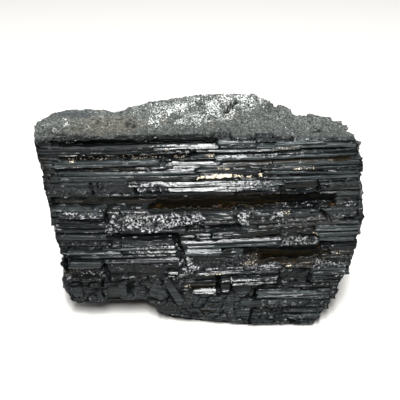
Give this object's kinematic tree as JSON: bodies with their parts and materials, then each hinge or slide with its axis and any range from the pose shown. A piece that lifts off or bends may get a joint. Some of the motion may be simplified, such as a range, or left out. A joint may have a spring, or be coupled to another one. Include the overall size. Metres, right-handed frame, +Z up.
{
  "type": "black tourmaline crystal",
  "caption": "Block of raw black tourmaline: parallel striated prisms grown together, with broken ends and a rough granular top.",
  "frame": {"origin": "middle of the bounding box's foot, on the surface the block rests on", "axes": "+X along the prisms, towards the end where they climb; -Y out of the striated face; +Z up through the broken crust"},
  "size_m": [0.1152, 0.0506, 0.0754],
  "materials": {
    "black_tourmaline": "glassy striated prism faces, dull where broken"
  },
  "bodies": {
    "root": {"tourmaline_crystal": "black_tourmaline"}
  },
  "joints": []
}
